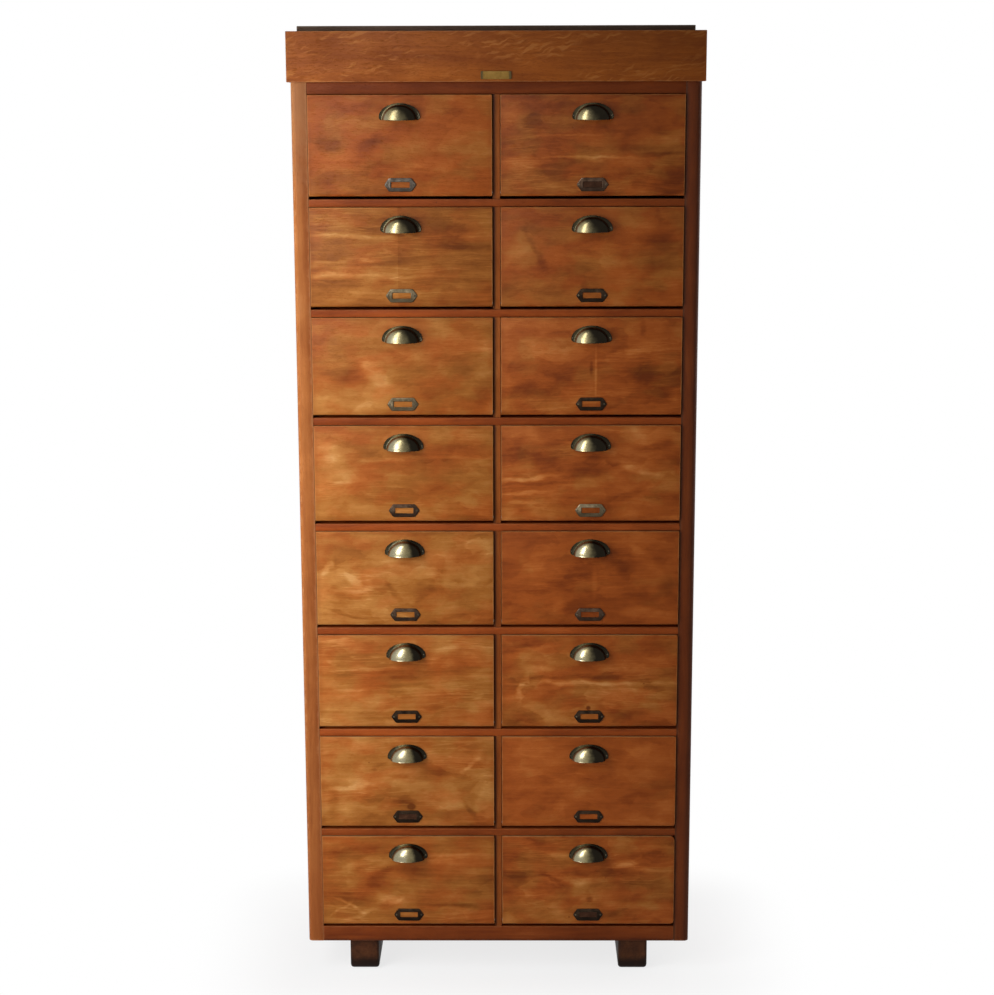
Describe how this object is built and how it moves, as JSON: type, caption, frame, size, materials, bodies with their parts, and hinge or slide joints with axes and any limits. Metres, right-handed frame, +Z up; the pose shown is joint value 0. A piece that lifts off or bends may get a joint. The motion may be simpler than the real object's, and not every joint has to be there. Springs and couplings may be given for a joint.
{
  "type": "notary cabinet",
  "caption": "Tall wooden office cabinet with rows of compartments behind bottom-pivoted drop flaps, with cup pulls, label holders, an oak frieze and two runners.",
  "frame": {"origin": "middle of the bounding box's underside, on the floor", "axes": "+Z up, -Y is the front with the flaps, +X to the right as seen from the front"},
  "size_m": [0.884, 0.4294, 2.1206],
  "materials": {
    "case_wood": "worn satin varnish",
    "flap_veneer": "mottled veneer, satin",
    "frieze_oak": "oak, satin varnish",
    "back_plywood": "bare plywood",
    "runner_wood": "dark stain",
    "brass": "old, patinated"
  },
  "bodies": {
    "case": {"left_front_post": "case_wood", "right_front_post": "case_wood", "left_side": "case_wood", "right_side": "case_wood", "shelf_1": "case_wood", "shelf_2": "case_wood", "shelf_3": "case_wood", "shelf_4": "case_wood", "shelf_5": "case_wood", "shelf_6": "case_wood", "shelf_7": "case_wood", "top_board": "case_wood", "bottom_board": "case_wood", "bottom_rail": "case_wood", "upper_rail": "case_wood", "rear_bottom_rail": "case_wood", "centre_partition": "case_wood", "back_panel": "back_plywood", "frieze_front": "frieze_oak", "frieze_left": "frieze_oak", "frieze_right": "frieze_oak", "cap_board": "frieze_oak", "blank_plate": "brass", "left_runner": "runner_wood", "right_runner": "runner_wood"},
    "flap_1_left": {"flap_1_left": "flap_veneer", "pull_1_left": "brass"},
    "flap_1_right": {"flap_1_right": "flap_veneer", "pull_1_right": "brass"},
    "flap_2_left": {"flap_2_left": "flap_veneer", "pull_2_left": "brass"},
    "flap_2_right": {"flap_2_right": "flap_veneer", "pull_2_right": "brass"},
    "flap_3_left": {"flap_3_left": "flap_veneer", "pull_3_left": "brass"},
    "flap_3_right": {"flap_3_right": "flap_veneer", "pull_3_right": "brass"},
    "flap_4_left": {"flap_4_left": "flap_veneer", "pull_4_left": "brass"},
    "flap_4_right": {"flap_4_right": "flap_veneer", "pull_4_right": "brass"},
    "flap_5_left": {"flap_5_left": "flap_veneer", "pull_5_left": "brass"},
    "flap_5_right": {"flap_5_right": "flap_veneer", "pull_5_right": "brass"},
    "flap_6_left": {"flap_6_left": "flap_veneer", "pull_6_left": "brass"},
    "flap_6_right": {"flap_6_right": "flap_veneer", "pull_6_right": "brass"},
    "flap_7_left": {"flap_7_left": "flap_veneer", "pull_7_left": "brass"},
    "flap_7_right": {"flap_7_right": "flap_veneer", "pull_7_right": "brass"},
    "flap_8_left": {"flap_8_left": "flap_veneer", "pull_8_left": "brass"},
    "flap_8_right": {"flap_8_right": "flap_veneer", "pull_8_right": "brass"}
  },
  "joints": [
    {"name": "flap_1_left_hinge", "type": "hinge", "parent": "case", "child": "flap_1_left", "pos_m": [-0.2045, -0.17835, 1.7739], "axis": [1, 0, 0], "range_deg": [0, 95]},
    {"name": "flap_1_right_hinge", "type": "hinge", "parent": "case", "child": "flap_1_right", "pos_m": [0.2045, -0.17835, 1.7739], "axis": [1, 0, 0], "range_deg": [0, 95]},
    {"name": "flap_2_left_hinge", "type": "hinge", "parent": "case", "child": "flap_2_left", "pos_m": [-0.2045, -0.17835, 1.5382], "axis": [1, 0, 0], "range_deg": [0, 95]},
    {"name": "flap_2_right_hinge", "type": "hinge", "parent": "case", "child": "flap_2_right", "pos_m": [0.2045, -0.17835, 1.5382], "axis": [1, 0, 0], "range_deg": [0, 95]},
    {"name": "flap_3_left_hinge", "type": "hinge", "parent": "case", "child": "flap_3_left", "pos_m": [-0.2045, -0.17835, 1.3025], "axis": [1, 0, 0], "range_deg": [0, 95]},
    {"name": "flap_3_right_hinge", "type": "hinge", "parent": "case", "child": "flap_3_right", "pos_m": [0.2045, -0.17835, 1.3025], "axis": [1, 0, 0], "range_deg": [0, 95]},
    {"name": "flap_4_left_hinge", "type": "hinge", "parent": "case", "child": "flap_4_left", "pos_m": [-0.2045, -0.17835, 1.0668], "axis": [1, 0, 0], "range_deg": [0, 95]},
    {"name": "flap_4_right_hinge", "type": "hinge", "parent": "case", "child": "flap_4_right", "pos_m": [0.2045, -0.17835, 1.0668], "axis": [1, 0, 0], "range_deg": [0, 95]},
    {"name": "flap_5_left_hinge", "type": "hinge", "parent": "case", "child": "flap_5_left", "pos_m": [-0.2045, -0.17835, 0.8311], "axis": [1, 0, 0], "range_deg": [0, 95]},
    {"name": "flap_5_right_hinge", "type": "hinge", "parent": "case", "child": "flap_5_right", "pos_m": [0.2045, -0.17835, 0.8311], "axis": [1, 0, 0], "range_deg": [0, 95]},
    {"name": "flap_6_left_hinge", "type": "hinge", "parent": "case", "child": "flap_6_left", "pos_m": [-0.2045, -0.17835, 0.5954], "axis": [1, 0, 0], "range_deg": [0, 95]},
    {"name": "flap_6_right_hinge", "type": "hinge", "parent": "case", "child": "flap_6_right", "pos_m": [0.2045, -0.17835, 0.5954], "axis": [1, 0, 0], "range_deg": [0, 95]},
    {"name": "flap_7_left_hinge", "type": "hinge", "parent": "case", "child": "flap_7_left", "pos_m": [-0.2045, -0.17835, 0.3597], "axis": [1, 0, 0], "range_deg": [0, 95]},
    {"name": "flap_7_right_hinge", "type": "hinge", "parent": "case", "child": "flap_7_right", "pos_m": [0.2045, -0.17835, 0.3597], "axis": [1, 0, 0], "range_deg": [0, 95]},
    {"name": "flap_8_left_hinge", "type": "hinge", "parent": "case", "child": "flap_8_left", "pos_m": [-0.2045, -0.17835, 0.124], "axis": [1, 0, 0], "range_deg": [0, 95]},
    {"name": "flap_8_right_hinge", "type": "hinge", "parent": "case", "child": "flap_8_right", "pos_m": [0.2045, -0.17835, 0.124], "axis": [1, 0, 0], "range_deg": [0, 95]}
  ]
}
